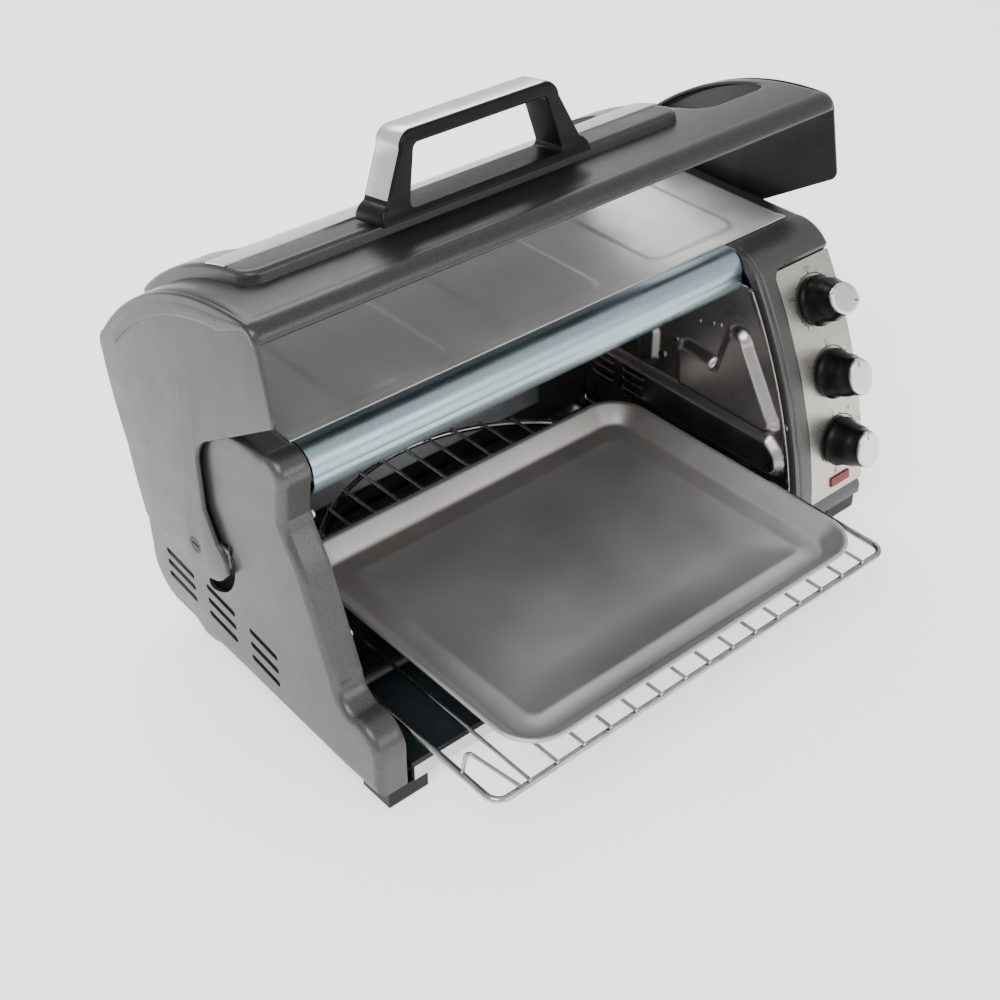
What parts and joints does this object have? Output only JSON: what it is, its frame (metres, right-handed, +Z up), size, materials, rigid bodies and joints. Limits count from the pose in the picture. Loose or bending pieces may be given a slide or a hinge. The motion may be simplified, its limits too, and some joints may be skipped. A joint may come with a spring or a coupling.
{
  "type": "toaster oven",
  "caption": "Countertop toaster oven with a roll-top door that swings back over the body, a pull handle, a wire rack, a baking pan, a crumb tray and knobs on a control panel.",
  "frame": {"origin": "on the worktop, in the middle of the object's footprint with the door open and the rack out", "axes": "+X to the user's right, +Y to the back, +Z up; the front faces -Y"},
  "size_m": [0.475, 0.3794, 0.3623],
  "materials": {
    "casing_paint": "fine metallic grey paint, satin",
    "door_paint": "fine metallic dark grey paint, satin",
    "cover_steel": "satin steel",
    "rail_steel": "satin steel",
    "zinc_sheet": "plain zinc-coated sheet",
    "liner_enamel": "dark non-stick coating",
    "element_sheath": "oxidised dark sheath",
    "ceramic": "plain white",
    "screw_steel": "plated",
    "faceplate_steel": "warm brushed sheet",
    "lens_red": "translucent red",
    "lamp_glass": "clear",
    "switch_body": "moulded",
    "bell_steel": "plated",
    "wire_jacket": "heat-proof sleeve",
    "black_plastic": "satin black",
    "chrome_trim": "satin chrome",
    "window_glass": "tinted",
    "rack_chrome": "bright",
    "pan_aluminium": "satin, lightly used",
    "tray_steel": "dark glossy coating, bare lip"
  },
  "bodies": {
    "housing": {"base_pan": "zinc_sheet", "casing_screws": "screw_steel", "control_bracket": "zinc_sheet", "control_faceplate": "faceplate_steel", "control_nuts": "screw_steel", "cord_bushing": "black_plastic", "element_insulators": "ceramic", "front_feet": "black_plastic", "front_top_rail": "rail_steel", "function_switch": "switch_body", "hinge_pins": "screw_steel", "hinge_retainers": "screw_steel", "indicator_lamp": "lamp_glass", "indicator_lens": "lens_red", "left_casing": "casing_paint", "liner_back": "liner_enamel", "liner_ceiling": "liner_enamel", "liner_fasteners": "screw_steel", "liner_left": "liner_enamel", "liner_right": "liner_enamel", "lower_element_front": "element_sheath", "lower_element_rear": "element_sheath", "rear_bump": "zinc_sheet", "rear_feet": "black_plastic", "rear_panel": "zinc_sheet", "right_casing": "casing_paint", "terminal_block": "switch_body", "thermostat": "switch_body", "timer": "switch_body", "timer_bell": "bell_steel", "top_cover": "cover_steel", "upper_element_front": "element_sheath", "upper_element_rear": "element_sheath", "wiring_harness": "wire_jacket"},
    "door": {"door_shell": "door_paint", "door_cheek_left": "door_paint", "door_cheek_right": "door_paint", "window_surround": "door_paint", "window_glass": "window_glass", "glass_retainer": "zinc_sheet", "window_trim": "chrome_trim", "handle_grip": "black_plastic", "handle_trim": "chrome_trim", "handle_screws": "screw_steel", "hinge_plates": "screw_steel", "guide_pins": "screw_steel"},
    "rack": {"rack_frame": "rack_chrome", "rack_grid": "rack_chrome", "rack_stop": "rack_chrome"},
    "pan": {"baking_pan": "pan_aluminium"},
    "tray": {"crumb_tray": "tray_steel"},
    "temperature_control": {"temperature_knob": "black_plastic", "temperature_knob_cap": "chrome_trim", "temperature_shaft": "screw_steel"},
    "function_control": {"function_knob": "black_plastic", "function_knob_cap": "chrome_trim", "function_shaft": "screw_steel"},
    "timer_control": {"timer_knob": "black_plastic", "timer_knob_cap": "chrome_trim", "timer_shaft": "screw_steel"}
  },
  "joints": [
    {"name": "door_hinge", "type": "hinge", "parent": "housing", "child": "door", "pos_m": [0, 0.0634, 0.1049], "axis": [1, 0, 0], "range_deg": [0, 84]},
    {"name": "rack_slide", "type": "slide", "parent": "housing", "child": "rack", "axis": [0, 1, 0], "range_m": [0, 0.06]},
    {"name": "pan_lift", "type": "slide", "parent": "rack", "child": "pan", "axis": [0, 0, 1], "range_m": [0, 0.03]},
    {"name": "tray_slide", "type": "slide", "parent": "housing", "child": "tray", "axis": [0, -1, 0], "range_m": [0, 0.12]},
    {"name": "temperature_turn", "type": "hinge", "parent": "housing", "child": "temperature_control", "pos_m": [0.205, -0.06082, 0.168], "axis": [0, 0.8895, -0.4569], "range_deg": [0, 270]},
    {"name": "function_turn", "type": "hinge", "parent": "housing", "child": "function_control", "pos_m": [0.205, -0.08238, 0.118], "axis": [0, 0.9428, -0.3333], "range_deg": [0, 180]},
    {"name": "timer_turn", "type": "hinge", "parent": "housing", "child": "timer_control", "pos_m": [0.205, -0.09672, 0.067], "axis": [0, 0.9783, -0.2072], "range_deg": [-40, 270]}
  ],
  "couplings": [
    {"joint": "rack_slide", "follows": "door_hinge", "m_per_rad": 0.0409}
  ]
}
